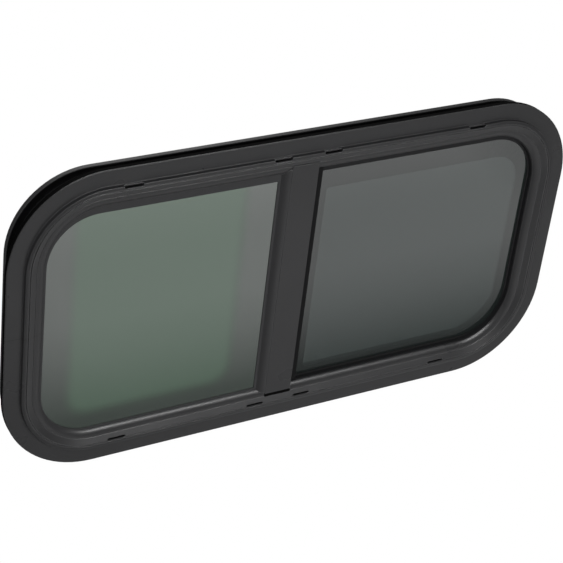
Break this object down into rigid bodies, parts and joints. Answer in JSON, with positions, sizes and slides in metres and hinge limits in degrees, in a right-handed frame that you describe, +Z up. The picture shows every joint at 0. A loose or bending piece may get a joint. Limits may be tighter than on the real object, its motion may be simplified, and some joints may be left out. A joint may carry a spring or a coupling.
{
  "type": "caravan window",
  "caption": "Half-sliding caravan window with large corner radii: bent black aluminium frame, off-centre mullion, tinted panes, insect screen and inner clamp ring.",
  "frame": {"origin": "centre of the window on the outer skin of the wall, where the seal behind the flange bears", "axes": "+X to the right seen from outside, +Y from outside into the caravan, +Z up"},
  "size_m": [0.802, 0.0473, 0.421],
  "materials": {
    "powder_coated_aluminium": "fine textured matt black powder coat",
    "tinted_glass_fixed": "green-grey tinted toughened glass",
    "tinted_glass_sash": "grey tinted toughened glass",
    "black_rubber": "matt EPDM rubber",
    "foam_seal": "closed-cell foam",
    "black_plastic": "moulded black nylon",
    "insect_mesh": "woven glass-fibre mesh"
  },
  "bodies": {
    "root": {"outer_frame": "powder_coated_aluminium", "wall_seal": "foam_seal", "clamp_ring": "powder_coated_aluminium", "mullion": "powder_coated_aluminium", "mullion_end_seals": "black_rubber", "mullion_side_seal": "black_rubber", "fixed_glass": "tinted_glass_fixed", "fixed_glass_gasket": "black_rubber", "fixed_glass_back_strip": "black_rubber", "fixed_glass_setting_blocks": "black_rubber", "sash_glass": "tinted_glass_sash", "sash_weatherseal": "black_rubber", "sash_back_frame": "black_plastic", "sash_glass_run": "black_rubber", "sash_meeting_seal": "black_rubber", "sash_latch_body": "black_plastic", "sash_latch_lever": "black_plastic", "latch_keeper": "black_plastic", "screen_frame": "powder_coated_aluminium", "screen_mesh": "insect_mesh", "screen_spline": "black_rubber", "screen_pulls": "black_plastic"}
  },
  "joints": []
}
